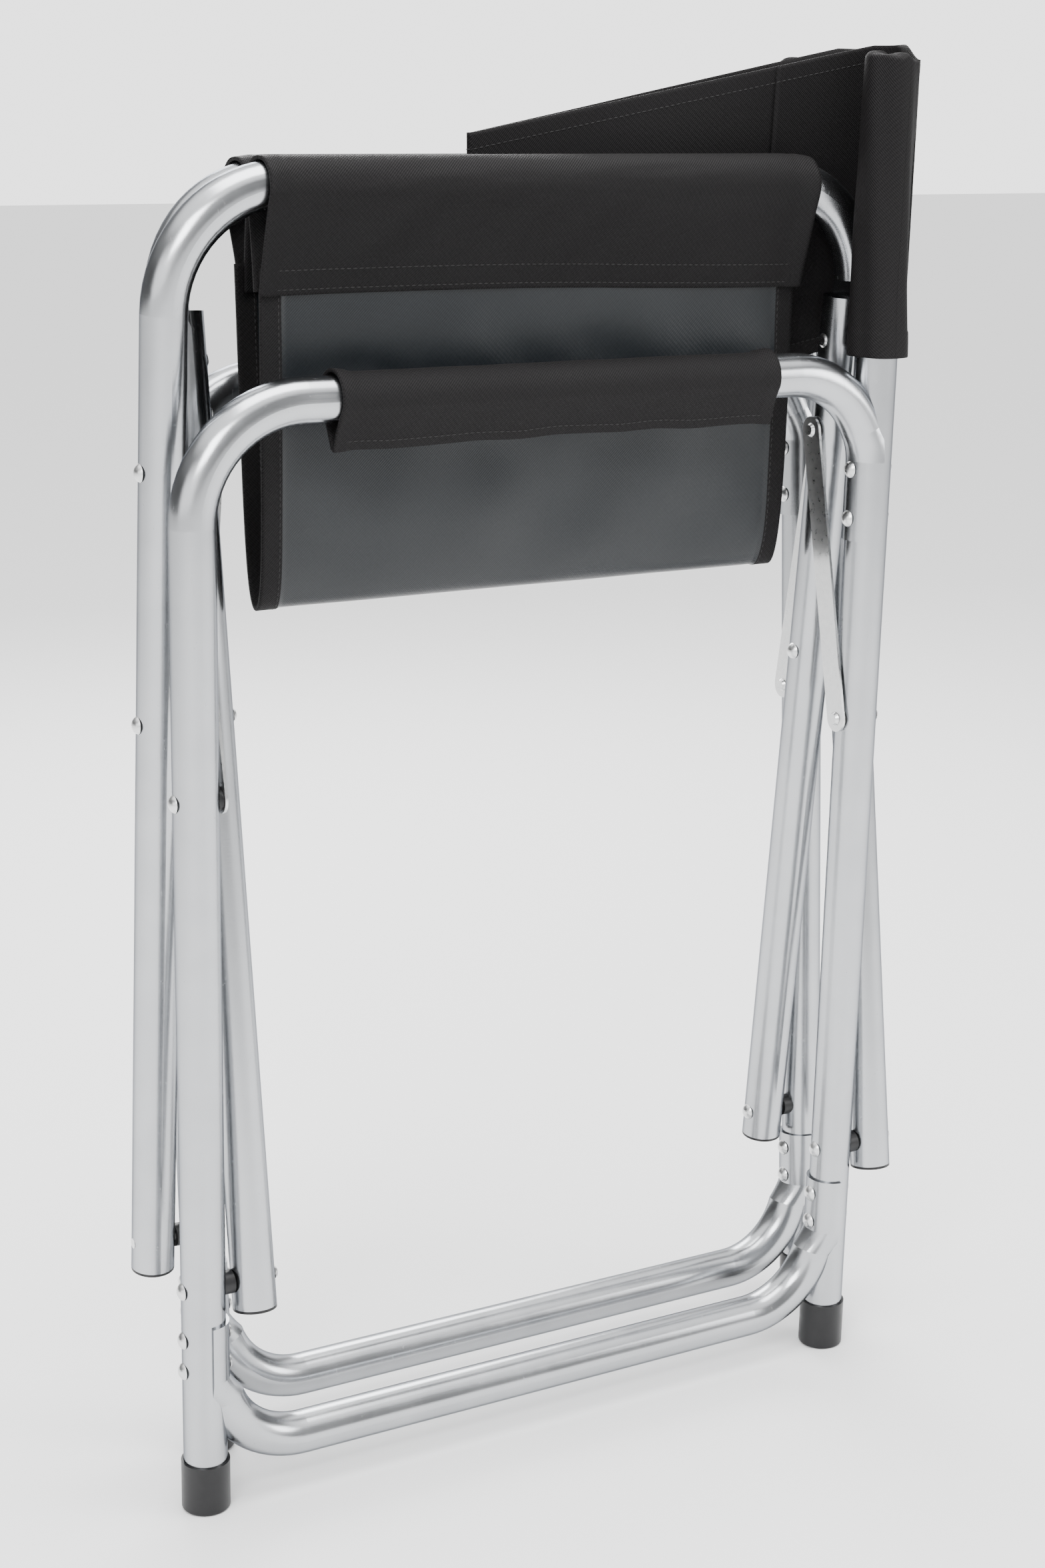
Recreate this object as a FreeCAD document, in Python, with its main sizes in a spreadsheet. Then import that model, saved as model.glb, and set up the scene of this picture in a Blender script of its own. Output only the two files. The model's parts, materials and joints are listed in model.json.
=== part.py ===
"""Folding aluminium camp chair, modelled folded and standing on its feet.

Two side frames (front leg, armrest, back post, lower stretcher) carry two crossed seat
frames.  Each seat frame is one bent tube, its rail and one leg, riveted to a straight leg.
The crossed legs turn on rivets along Y, and four flat links tie them to the side frames.

World axes: +Z up, -Y is the chair's front, +X is the side called near.
Each frame is built in a plane of its own: y runs back from its first leg and z runs up from
the bottom pivot.  A placement then leans it and stands it in the chair.
"""
import FreeCAD, Part
import math
import os

import Sketcher
from FreeCAD import Placement, Rotation, Vector

# alias, value in millimetres or degrees, meaning
DIMENSIONS = [
    ("tube_radius", 12.5, "outer radius of every frame tube"),
    ("tube_bore", 11.2, "inner radius of every frame tube"),
    ("frame_depth", 429.0, "front leg axis to rear leg axis within one frame"),
    ("layer_pitch", 30.0, "Y distance between two tubes that cross side by side"),
    ("folded_gap", 75.2, "X distance between the side frames at the bottom pivots"),
    ("leg_drop", 136.4, "bottom pivot to the foot's underside along a side leg"),
    ("centre_shift", 3.5, "the chair's middle lies behind the middle of its legs by"),
    ("side_lean", 2.38, "outward lean of each folded side frame, degrees"),
    ("cross_pivot", 316.9, "bottom pivot to crossing pivot along a seat leg"),
    ("link_high", 455.4, "bottom pivot to link rivet along a seat leg"),
    ("link_low", 282.0, "bottom pivot to link rivet along a side leg"),
    ("arm_level", 490.0, "bottom pivot to armrest axis along the side frame"),
    ("arm_bend", 62.0, "radius of the armrest's front bend"),
    ("arm_rear_bend", 58.0, "radius of the armrest's rear bend"),
    ("arm_offset", 1.8, "armrest's rear bend ends in front of the post's axis by"),
    ("arm_bend_end", 457.0, "height where the armrest's round tube ends"),
    ("arm_lap_start", 438.0, "upper end of the armrest's lap on the post"),
    ("arm_lap_end", 391.0, "lower end of the armrest's lap on the post"),
    ("arm_rivet_high", 433.0, "upper lap rivet of the armrest"),
    ("arm_rivet_low", 404.0, "lower lap rivet of the armrest"),
    ("post_top", 662.0, "top of the back post above the bottom pivot"),
    ("rail_level", 602.9, "bottom pivot to seat rail axis along the leg"),
    ("rail_bend", 65.0, "radius of both seat rail bends"),
    ("rail_offset", 7.0, "seat rail's end bend stands behind the lapped leg's axis by"),
    ("rail_bend_end", 546.0, "height where the seat rail's round tube ends"),
    ("rail_lap_start", 526.0, "upper end of the seat rail's lap on its leg"),
    ("rail_lap_end", 468.0, "lower end of the seat rail's lap on its leg"),
    ("rail_rivet_high", 509.0, "upper lap rivet of the seat rail"),
    ("rail_rivet_low", 481.0, "lower lap rivet of the seat rail"),
    ("lapped_leg_top", 535.0, "top of the straight lapped leg"),
    ("leg_tail", 16.5, "seat leg's length below its bottom pivot"),
    ("plug_flange", 1.6, "flange thickness of the plug in a seat leg's end"),
    ("plug_depth", 14.0, "depth of the plug in a seat leg's end"),
    ("stretcher_drop", 105.3, "stretcher axis below the bottom pivot"),
    ("stretcher_bend", 52.0, "radius of both stretcher bends"),
    ("stretcher_offset", 8.0, "stretcher's bends end inside the legs' axes by"),
    ("stretcher_bend_end", 69.0, "depth below the pivot where the stretcher's round tube ends"),
    ("stretcher_lap_start", 54.5, "lower end of the stretcher's lap, below the pivot"),
    ("stretcher_lap_end", 20.0, "upper end of the stretcher's lap, below the pivot"),
    ("stretcher_rivet_low", 49.0, "lower lap rivet of the stretcher, below the pivot"),
    ("stretcher_rivet_high", 30.0, "upper lap rivet of the stretcher, below the pivot"),
    ("lap_radius", 14.3, "outer radius of a pressed lap"),
    ("foot_radius", 13.9, "outer radius of a foot cap"),
    ("foot_height", 30.0, "height of a foot cap"),
    ("foot_base", 4.0, "floor thickness of a foot cap"),
    ("foot_round", 1.5, "rounding of a foot cap's bottom edge"),
    ("fit_gap", 0.05, "radial clearance of rivets in holes, and of caps and laps on tubes"),
    ("run_gap", 0.3, "clearance between faces that turn against each other"),
    ("pin_radius", 3.0, "shank radius of a pivot rivet"),
    ("rivet_radius", 2.4, "shank radius of a lap rivet"),
    ("head_radius", 5.0, "rivet head radius"),
    ("head_height", 3.0, "rivet head height"),
    ("tail_radius", 4.2, "radius of a rivet's rolled end"),
    ("tail_height", 1.6, "height of a rivet's rolled end"),
    ("flat_tail", 0.8, "height of the rail rivets' rolled ends, which the links pass"),
    ("spacer_radius", 6.7, "radius of the plastic spacers between crossing tubes"),
    ("washer_radius", 6.5, "radius of the plastic washers under the links"),
    ("washer_depth", 0.9, "thickness of the plastic washers under the links"),
    ("link_width", 16.0, "width of a flat link"),
    ("link_depth", 1.6, "thickness of a flat link"),
    ("cloth", 1.6, "thickness of a layer in the cloth solids"),
    ("cloth_gap", 0.3, "clearance of the cloth solids round the tubes"),
    ("seat_length", 347.0, "seat cloth along the rails"),
    ("seat_start", 51.0, "seat cloth starts behind its frame's continuous leg by"),
    ("seat_hem", 57.0, "seat sleeve hangs below the rail axis by"),
    ("seat_fold_level", 509.0, "lowest line of the folded seat above the floor"),
    ("seat_fold_radius", 15.0, "radius of the folded seat's lowest bend"),
    ("arm_sleeve_start", 84.0, "armrest sleeve starts behind the front leg by"),
    ("arm_sleeve_length", 268.0, "length of the armrest sleeve"),
    ("arm_sleeve_hem", 25.5, "armrest sleeve's hem below the armrest axis"),
    ("back_sleeve_low", 499.0, "lower end of the back sleeve above the bottom pivot"),
    ("back_sleeve_high", 667.0, "upper end of the back sleeve above the bottom pivot"),
    ("back_turn_x", 5.5, "X where the folded back cloth turns forward"),
    ("back_turn_gap", 22.5, "back cloth runs behind the post's axis by, where it turns"),
    ("back_turn_round", 5.0, "corner cut where the folded back cloth turns forward"),
    ("back_fold_y", 185.0, "folded edge of the back cloth behind the near front leg"),
    ("back_panel_top", 42.0, "folded edge's top lies lower than the sleeve's top by"),
]

doc = FreeCAD.newDocument("folding_camp_chair")
sheet = doc.addObject("Spreadsheet::Sheet", "dims")
for row, (alias, value, meaning) in enumerate(DIMENSIONS, start=1):
    sheet.set(f"A{row}", meaning)
    sheet.set(f"B{row}", str(value))
    sheet.setAlias(f"B{row}", alias)
doc.recompute()

UP = Vector(0, 0, 1)
BACK = Vector(0, 1, 0)
SIDEWAYS = Vector(1, 0, 0)
ORIGIN = Vector(0, 0, 0)
YZ_PLANE = Rotation(Vector(1, 1, 1), 120)      # a sketch's x becomes +Y and its y becomes +Z

parts = []                                     # every sub-part, in the order it is made


def dim(alias):
    """One driving dimension, read from the sheet."""
    return float(sheet.get(alias))


TUBE = dim("tube_radius")
DEPTH = dim("frame_depth")
PITCH = dim("layer_pitch")
GAP = dim("fit_gap")
CLOTH = dim("cloth")
HALF_WIDTH = dim("folded_gap") / 2
HALF_DEPTH = (DEPTH + PITCH) / 2
SEAT_LEAN = math.degrees(math.asin(HALF_WIDTH / dim("cross_pivot")))
SLEEVE = TUBE + dim("cloth_gap")               # inner radius of the cloth round a tube


def pivot_height():
    """Height of the bottom pivots: the leaning feet stand on their rounded outer edges."""
    lean, edge = math.radians(dim("side_lean")), dim("foot_round")
    upright = (dim("leg_drop") - edge) * math.cos(lean)
    return upright + (dim("foot_radius") - edge) * math.sin(lean) + edge


def stand(x, y, lean, turn=0.0):
    """Placement of a frame whose front bottom pivot is at x, y and which leans towards +X."""
    return Placement(Vector(x, y, pivot_height()), Rotation(UP, turn) * Rotation(BACK, lean))


SIDE_FRAMES = {
    "near": stand(HALF_WIDTH, -HALF_DEPTH, dim("side_lean")),
    "far": stand(-HALF_WIDTH, -HALF_DEPTH + PITCH, -dim("side_lean")),
}
SEAT_FRAMES = {
    "near": stand(-HALF_WIDTH, -HALF_DEPTH, SEAT_LEAN),
    "far": stand(HALF_WIDTH, HALF_DEPTH, SEAT_LEAN, turn=180),
}
HALF_TURNS = {"near": Placement(), "far": Placement(ORIGIN, Rotation(UP, 180))}
CENTRED = Placement(Vector(0, -dim("centre_shift"), 0), Rotation())


# ---------------------------------------------------------------- keeping sub-parts

def finish(feature, label, placement):
    """Name a finished sub-part, stand it in the chair and keep it for export."""
    feature.Label = label
    feature.Placement = CENTRED * placement
    parts.append(feature)
    return feature


def solid(label, shape, placement):
    """A sub-part whose shape is made with Part's own functions."""
    feature = doc.addObject("Part::Feature", label)
    feature.Shape = shape
    return finish(feature, label, placement)


def helper(name, shape):
    """A shape that a boolean of the document uses."""
    feature = doc.addObject("Part::Feature", name)
    feature.Shape = shape
    return feature


def cut(name, base, tool):
    """Base less tool, as a Part::Cut."""
    feature = doc.addObject("Part::Cut", name)
    feature.Base = base
    feature.Tool = tool
    return feature


# ---------------------------------------------------------------- shapes used many times

def rod(radius, at, start, end, along):
    """A cylinder about the line through 'at', from start to end along it."""
    return Part.makeCylinder(radius, end - start, at + along * start, along)


def joined(shapes):
    """Several touching or overlapping shapes as one."""
    return shapes[0].fuse(shapes[1:]).removeSplitter() if len(shapes) > 1 else shapes[0]


def largest(shape):
    """The largest solid of a shape, without the slivers that a cut leaves."""
    return max(shape.Solids, key=lambda piece: piece.Volume)


def dome(at, along):
    """A rivet's domed head: it stands on 'at' and rises along a direction."""
    radius, height = dim("head_radius"), dim("head_height")
    ball = (radius ** 2 + height ** 2) / (2 * height)
    sphere = Part.makeSphere(ball, at + along * (height - ball))
    return sphere.common(rod(radius, at, 0, height, along))


def rolled_end(at, along, height):
    """A rivet's rolled end: a low cone that stands on 'at'."""
    radius = dim("tail_radius")
    return Part.makeCone(radius, radius * 0.72, height, at, along)


def rivet(y, z, start, end, shank, head_first=True, tail="tail_height"):
    """A rivet along +Y through local y + start to y + end, headed at one end.

    The other end is rolled to the height that tail names, or plain when tail is None.
    """
    at = Vector(0, y, z)
    first, last = at + BACK * start, at + BACK * end
    ends = [(first, -BACK), (last, BACK)]
    head, other = ends if head_first else reversed(ends)
    shapes = [rod(shank, at, start, end, BACK), dome(*head)]
    if tail:
        shapes.append(rolled_end(*other, dim(tail)))
    return joined(shapes)


def drill(y, z, shank):
    """The hole for a rivet along Y through the tube at local y."""
    return rod(shank + GAP, Vector(0, y, z), -2 * TUBE, 2 * TUBE, BACK)


def saddle_spacer(y, side):
    """A plastic spacer on the tube at local y, towards the tube on its side (+1 or -1) along y.

    It is shaped to its own tube and flat where the other one turns on it.
    """
    at = Vector(0, y, 0)
    face = PITCH - TUBE - dim("run_gap")
    core = rod(dim("spacer_radius"), at, TUBE - 2, face, BACK * side)
    bore = rod(dim("pin_radius") + GAP, at, 0, PITCH, BACK * side)
    return core.cut([bore, rod(TUBE + GAP, at, -2 * TUBE, 2 * TUBE, UP)])


# ---------------------------------------------------------------- frame tubes

def straight_tube(name, low, high):
    """A straight tube on the local z axis from low to high, both expressions over the sheet."""
    body = doc.addObject("PartDesign::Body", f"{name}_stock")
    plane = next(f for f in body.Origin.OriginFeatures if f.Role == "XY_Plane")
    section = body.newObject("Sketcher::SketchObject", f"{name}_section")
    section.AttachmentSupport = [(plane, "")]
    section.MapMode = "FlatFace"
    for radius in ("tube_radius", "tube_bore"):
        ring = section.addGeometry(Part.Circle(ORIGIN, UP, dim(radius)), False)
        section.addConstraint(Sketcher.Constraint("Coincident", ring, 3, -1, 1))
        index = section.addConstraint(Sketcher.Constraint("Radius", ring, dim(radius)))
        section.setExpression(f"Constraints[{index}]", f"dims.{radius}")
    pad = body.newObject("PartDesign::Pad", f"{name}_pad")
    pad.Profile = section
    pad.setExpression("Length", f"({high}) - ({low})")
    body.setExpression("Placement.Base.z", low)
    doc.recompute()
    return body


def swept(name, path, radius, start_y, start_z, plane):
    """A round bar of one radius swept along a path from the given start."""
    ring = doc.addObject("Part::Circle", f"{name}_ring")
    ring.setExpression("Radius", f"dims.{radius}")
    ring.Placement = Placement(Vector(0, start_y, start_z), plane)
    sweep = doc.addObject("Part::Sweep", name)
    sweep.Sections = [ring]
    sweep.Spine = (path, [f"Edge{n + 1}" for n in range(path.GeometryCount)])
    sweep.Solid = True
    return sweep


def arc_point(center_y, center_z, radius, angle):
    """A point of a bend and the turn from its centre, in the local plane."""
    return Vector(0, center_y + radius * math.cos(angle), center_z + radius * math.sin(angle))


def lap(axis_y, side, bend_end, tangent, start_z, end_z):
    """Pressed end of a tube: a loft from its round end into a half shell on a straight tube.

    The shell lies on the side of the tube that side (+1 or -1) gives along y.
    """
    down = Vector(0, 0, 1 if end_z > start_z else -1)
    axis = Vector(0, axis_y, 0)
    begin = Vector(0, axis_y, start_z)
    middle = (bend_end + begin) / 2 + (tangent - down) * (begin - bend_end).Length / 8
    rings = [(bend_end, tangent, TUBE), (middle, tangent + down, (TUBE + dim("lap_radius")) / 2),
             (begin, down, dim("lap_radius"))]
    wires = [Part.Wire(Part.Circle(at, normal, radius).toShape()) for at, normal, radius in rings]
    taper = Part.makeLoft(wires, True)
    shell = rod(dim("lap_radius"), begin, 0, abs(end_z - start_z), down)
    low, high = sorted((start_z, end_z))
    beyond = Part.makeBox(4 * TUBE, 2 * TUBE, 8 * TUBE + high - low,
                          Vector(-2 * TUBE, -TUBE * (1 + side), low - 4 * TUBE) + axis)
    return taper.fuse(shell).cut(beyond).removeSplitter()


def tangent_sketch(name, edges, joints):
    """A path in the frame's plane from lines and arcs that meet tangentially."""
    path = doc.addObject("Sketcher::SketchObject", name)
    path.Placement = Placement(ORIGIN, YZ_PLANE)
    path.addGeometry(edges, False)
    for first, first_end, second, second_end in joints:
        path.addConstraint(Sketcher.Constraint("Tangent", first, first_end, second, second_end))
    return path


def drive(path, constraint, expression):
    """Add a constraint whose value an expression over the sheet gives."""
    path.setExpression(f"Constraints[{path.addConstraint(constraint)}]", expression)


def flat(y, z):
    """A point of a path's sketch."""
    return Vector(y, z, 0)


def bend(center_y, center_z, radius, start, end):
    """An arc of a path's sketch."""
    return Part.ArcOfCircle(Part.Circle(flat(center_y, center_z), UP, radius), start, end)


def values(*expressions):
    """What expressions over the sheet come to, as numbers."""
    return [float(sheet.evalExpression(text)) for text in expressions]


def hollow_tube(name, path, start_y, start_z, plane):
    """The frame tube along a path: an outer sweep less an inner one."""
    outer = swept(f"{name}_outer", path, "tube_radius", start_y, start_z, plane)
    inner = swept(f"{name}_inner", path, "tube_bore", start_y, start_z, plane)
    return cut(f"{name}_hollow", outer, inner)


def hooped_tube(name, low, level, bends, last_y, bend_end):
    """Leg from low up to a bend, a level run, and a second bend that stops at bend_end.

    The sizes are expressions; last_y is where the second bend would stand upright.
    Returns the hollow tube, its end's place and its direction there.
    """
    z0, z1, r, r1, y1, z2 = values(low, level, *bends, last_y, bend_end)
    right = math.pi / 2
    last = math.asin((z2 - z1 + r1) / r1)
    path = tangent_sketch(f"{name}_path", [
        Part.LineSegment(flat(0, z0), flat(0, z1 - r)),
        bend(r, z1 - r, r, right, 2 * right),
        Part.LineSegment(flat(r, z1), flat(y1 - r1, z1)),
        bend(y1 - r1, z1 - r1, r1, last, right),
    ], [(0, 2, 1, 2), (1, 1, 2, 1), (2, 2, 3, 2)])
    path.addConstraint([Sketcher.Constraint("Vertical", 0), Sketcher.Constraint("Horizontal", 2),
                        Sketcher.Constraint("PointOnObject", 0, 1, -2)])
    drive(path, Sketcher.Constraint("DistanceY", -1, 1, 0, 1, z0), low)
    drive(path, Sketcher.Constraint("DistanceY", -1, 1, 2, 1, z1), level)
    drive(path, Sketcher.Constraint("Radius", 1, r), bends[0])
    drive(path, Sketcher.Constraint("Radius", 3, r1), bends[1])
    drive(path, Sketcher.Constraint("DistanceX", -1, 1, 3, 3, y1 - r1), f"{last_y} - {bends[1]}")
    drive(path, Sketcher.Constraint("DistanceY", -1, 1, 3, 1, z2), bend_end)
    end = arc_point(y1 - r1, z1 - r1, r1, last)
    tangent = Vector(0, math.sin(last), -math.cos(last))
    return hollow_tube(name, path, 0, z0, Rotation()), end, tangent


def pressed_tube(label, hollow, laps, clears, drills, placement):
    """A bent tube with its pressed laps, cleared of the straight tubes and drilled."""
    whole = doc.addObject("Part::MultiFuse", f"{label}_whole")
    whole.Shapes = [hollow] + [helper(f"{label}_lap_{n}", shape) for n, shape in enumerate(laps)]
    tool = helper(f"{label}_tool", Part.makeCompound(clears + drills))
    return finish(cut(label, whole, tool), label, placement)


def clearance(y, low, high):
    """The space that a straight tube at local y fills between two heights, plus its fit."""
    return rod(TUBE + GAP, Vector(0, y, 0), low, high, UP)


def pin_drills(places):
    """Holes for (y, z, shank alias) places."""
    return [drill(y, z, dim(shank)) for y, z, shank in places]


# ---------------------------------------------------------------- side frames

def arm_rivets():
    return [(DEPTH, dim(z), "rivet_radius") for z in ("arm_rivet_high", "arm_rivet_low")]


def stretcher_rivets(y):
    return [(y, -dim(z), "rivet_radius") for z in ("stretcher_rivet_low", "stretcher_rivet_high")]


def side_pins(y):
    """Pivot rivets of a side leg at local y: the bottom pivot and the link's rivet."""
    return [(y, 0.0, "pin_radius"), (y, dim("link_low"), "pin_radius")]


def front_leg_and_armrest(side, placement):
    """Front leg, armrest and the pressed lap on the back post, one bent tube."""
    floor = "dims.foot_base - dims.leg_drop"
    hollow, end, tangent = hooped_tube(
        f"{side}_armrest", floor, "dims.arm_level", ("dims.arm_bend", "dims.arm_rear_bend"),
        "dims.frame_depth - dims.arm_offset", "dims.arm_bend_end")
    press = lap(DEPTH, -1, end, tangent, dim("arm_lap_start"), dim("arm_lap_end"))
    pressed_tube(f"{side}_front_leg_and_armrest", hollow, [press],
                 [clearance(DEPTH, dim("arm_lap_end") - TUBE, dim("post_top"))],
                 pin_drills(side_pins(0.0) + stretcher_rivets(0.0) + arm_rivets()), placement)


def drilled_tube(label, y, low, high, drills, placement):
    """A straight tube at local y between two expressions, drilled for its rivets."""
    piece = cut(label, straight_tube(label, low, high),
                helper(f"{label}_tool", Part.makeCompound(drills)))
    stood = placement * Placement(Vector(0, y, 0), Rotation())
    return finish(piece, label, stood)


def back_post(side, placement):
    """Rear leg and back post, one straight tube."""
    holes = pin_drills(side_pins(0.0) + stretcher_rivets(0.0))
    holes += pin_drills([(0.0, z, shank) for _, z, shank in arm_rivets()])
    drilled_tube(f"{side}_back_post", DEPTH, "dims.foot_base - dims.leg_drop",
                 "dims.post_top", holes, placement)


def stretcher(side, placement):
    """Lower stretcher: a tube bent up at both ends and lapped on the insides of the legs."""
    name = f"{side}_stretcher"
    sizes = ("-dims.stretcher_drop", "dims.stretcher_bend", "dims.stretcher_offset",
             "dims.frame_depth - dims.stretcher_offset", "-dims.stretcher_bend_end")
    level, r, y0, y1, z_end = values(*sizes)
    lift = math.asin((level + r - z_end) / r)
    right = math.pi / 2
    path = tangent_sketch(f"{name}_path", [
        bend(y0 + r, level + r, r, 2 * right + lift, 3 * right),
        Part.LineSegment(flat(y0 + r, level), flat(y1 - r, level)),
        bend(y1 - r, level + r, r, 3 * right, 4 * right - lift),
    ], [(0, 2, 1, 1), (1, 2, 2, 1)])
    path.addConstraint(Sketcher.Constraint("Horizontal", 1))
    drive(path, Sketcher.Constraint("Radius", 0, r), sizes[1])
    drive(path, Sketcher.Constraint("Radius", 2, r), sizes[1])
    drive(path, Sketcher.Constraint("DistanceY", 1, 1, -1, 1, -level), "dims.stretcher_drop")
    drive(path, Sketcher.Constraint("DistanceX", -1, 1, 0, 3, y0 + r), f"{sizes[2]} + {sizes[1]}")
    drive(path, Sketcher.Constraint("DistanceX", -1, 1, 2, 3, y1 - r), f"{sizes[3]} - {sizes[1]}")
    for edge, end in ((0, 1), (2, 2)):
        drive(path, Sketcher.Constraint("DistanceY", edge, end, -1, 1, -z_end), "dims.stretcher_bend_end")
    first = arc_point(y0 + r, level + r, r, 2 * right + lift)
    last = arc_point(y1 - r, level + r, r, -lift)
    rise, lean = math.cos(lift), math.sin(lift)
    hollow = hollow_tube(name, path, first.y, first.z, Rotation(UP, Vector(0, lean, -rise)))
    low, high = -dim("stretcher_lap_start"), -dim("stretcher_lap_end")
    laps = [lap(0.0, 1, first, Vector(0, -lean, rise), low, high),
            lap(DEPTH, -1, last, Vector(0, lean, rise), low, high)]
    clears = [clearance(y, -dim("stretcher_drop") - 3 * TUBE, 0) for y in (0.0, DEPTH)]
    pressed_tube(name, hollow, laps, clears,
                 pin_drills(stretcher_rivets(0.0) + stretcher_rivets(DEPTH)), placement)


def foot(label, y, placement):
    """A plastic cap that closes a leg's end and stands on the floor."""
    base = -dim("leg_drop")
    at = Vector(0, y, 0)
    outer = rod(dim("foot_radius"), at, base, base + dim("foot_height"), UP)
    bottom = [edge for edge in outer.Edges if edge.BoundBox.ZMax < base + 0.01]
    outer = outer.makeFillet(dim("foot_round"), bottom)
    socket = rod(TUBE + GAP, at, base + dim("foot_base"), base + dim("foot_height"), UP)
    solid(label, outer.cut(socket), placement)


def wrap(inner, start, length, y_axis=True):
    """Cloth round a tube: a ring about the local y or z axis."""
    along = BACK if y_axis else UP
    return rod(inner + CLOTH, ORIGIN, start, start + length, along).cut(
        rod(inner, ORIGIN, start, start + length, along))


def arm_sleeve(side, placement):
    """Cloth sleeve on the armrest: a ring round the tube and a hem that hangs below it."""
    start, length = dim("arm_sleeve_start"), dim("arm_sleeve_length")
    hem = Part.makeBox(2 * CLOTH, length, dim("arm_sleeve_hem") - SLEEVE,
                       Vector(-CLOTH, start, -dim("arm_sleeve_hem")))
    sleeve = joined([wrap(SLEEVE, start, length), hem])
    lift = Placement(Vector(0, 0, dim("arm_level")), Rotation())
    solid(f"{side}_arm_sleeve", sleeve, placement * lift)


def back_sleeve(side, placement):
    """Cloth sleeve on the back post, closed over the post's end."""
    low, high = dim("back_sleeve_low"), dim("back_sleeve_high")
    lid = rod(SLEEVE + CLOTH, ORIGIN, high - CLOTH, high, UP)
    sleeve = joined([wrap(SLEEVE, low, high - low, y_axis=False), lid])
    solid(f"{side}_back_sleeve", sleeve, placement * Placement(Vector(0, DEPTH, 0), Rotation()))


def side_frame(side):
    """All that rides on one side frame."""
    placement = SIDE_FRAMES[side]
    front_leg_and_armrest(side, placement)
    back_post(side, placement)
    stretcher(side, placement)
    for where, y in (("front", 0.0), ("rear", DEPTH)):
        foot(f"{side}_{where}_foot", y, placement)
    lap_outer = dim("lap_radius")
    shank = dim("rivet_radius")
    rear = arm_rivets() + stretcher_rivets(DEPTH)
    group = [rivet(y, z, -lap_outer, TUBE, shank) for y, z, _ in rear]
    group += [rivet(y, z, -TUBE, lap_outer, shank) for y, z, _ in stretcher_rivets(0.0)]
    solid(f"{side}_lap_rivets", Part.makeCompound(group), placement)
    arm_sleeve(side, placement)
    back_sleeve(side, placement)


# ---------------------------------------------------------------- seat frames

def rail_rivets():
    return [(DEPTH, dim(z), "rivet_radius") for z in ("rail_rivet_high", "rail_rivet_low")]


def seat_pins(y):
    """Pivot rivets of a seat leg at local y: bottom pivot, crossing pivot and link's rivet."""
    return [(y, z, "pin_radius") for z in (0.0, dim("cross_pivot"), dim("link_high"))]


def seat_frame(side):
    """A bent tube (leg and rail), the straight leg that it laps, and their plugs and rivets."""
    placement = SEAT_FRAMES[side]
    hollow, end, tangent = hooped_tube(
        f"{side}_rail", "-dims.leg_tail", "dims.rail_level", ("dims.rail_bend", "dims.rail_bend"),
        "dims.frame_depth + dims.rail_offset", "dims.rail_bend_end")
    press = lap(DEPTH, 1, end, tangent, dim("rail_lap_start"), dim("rail_lap_end"))
    pressed_tube(f"{side}_seat_rail_and_leg", hollow, [press],
                 [clearance(DEPTH, dim("rail_lap_end") - TUBE, dim("lapped_leg_top") + GAP)],
                 pin_drills(seat_pins(0.0) + rail_rivets()), placement)
    holes = seat_pins(0.0) + [(0.0, z, shank) for _, z, shank in rail_rivets()]
    drilled_tube(f"{side}_lapped_leg", DEPTH, "-dims.leg_tail", "dims.lapped_leg_top",
                 pin_drills(holes), placement)
    group = [rivet(y, z, -TUBE, dim("lap_radius"), dim("rivet_radius"), head_first=False,
                   tail="flat_tail") for y, z, _ in rail_rivets()]
    solid(f"{side}_rail_rivets", Part.makeCompound(group), placement)
    solid(f"{side}_leg_plugs", Part.makeCompound([plug(y) for y in (0.0, DEPTH)]), placement)


def plug(y):
    """A plastic plug in a seat leg's lower end: a flange and a stem with a hollow."""
    at, tail = Vector(0, y, 0), -dim("leg_tail")
    stem = dim("tube_bore") - GAP
    flange = rod(TUBE, at, tail - dim("plug_flange"), tail, UP)
    wall = rod(stem, at, tail, -dim("pin_radius") - 1, UP).cut(rod(stem - 2, at, tail, 0, UP))
    return joined([flange, wall])


# ---------------------------------------------------------------- pivots and links

def pivots(label, z, placement, ys, side):
    """Rivets and spacers that join the tubes at local ys to those on their side along y."""
    shank = dim("pin_radius")
    low, high = sorted((-side * TUBE, side * (PITCH + TUBE)))
    pins = [rivet(y, z, low, high, shank) for y in ys]
    solid(f"{label}_rivets", Part.makeCompound(pins), placement)
    lift = Placement(Vector(0, 0, z), Rotation())
    rings = [saddle_spacer(y, side) for y in ys]
    solid(f"{label}_spacers", Part.makeCompound(rings), placement * lift)


def link_rivet_shapes(y, z, side, through):
    """A link's rivet at a leg: headed outside, through the leg and maybe through the link."""
    washer, link = dim("washer_depth"), dim("link_depth")
    reach = TUBE + washer + (link + dim("run_gap") if through else 0)
    shank = dim("pin_radius")
    start, end = (-TUBE, reach) if side > 0 else (-reach, TUBE)
    tail = "tail_height" if through else None
    return rivet(y, z, start, end, shank, head_first=side > 0, tail=tail)


def link_washer(y, z, side):
    """A plastic washer between a leg and a link, shaped to the leg."""
    at = Vector(0, y, z)
    face = TUBE + dim("washer_depth")
    start, end = sorted((side * (TUBE - 2), side * face))
    disc = rod(dim("washer_radius"), at, start, end, BACK)
    bore = rod(dim("pin_radius") + GAP, at, start, end, BACK)
    return disc.cut([bore, rod(TUBE + GAP, Vector(0, y, z), -TUBE, TUBE, UP)])


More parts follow.
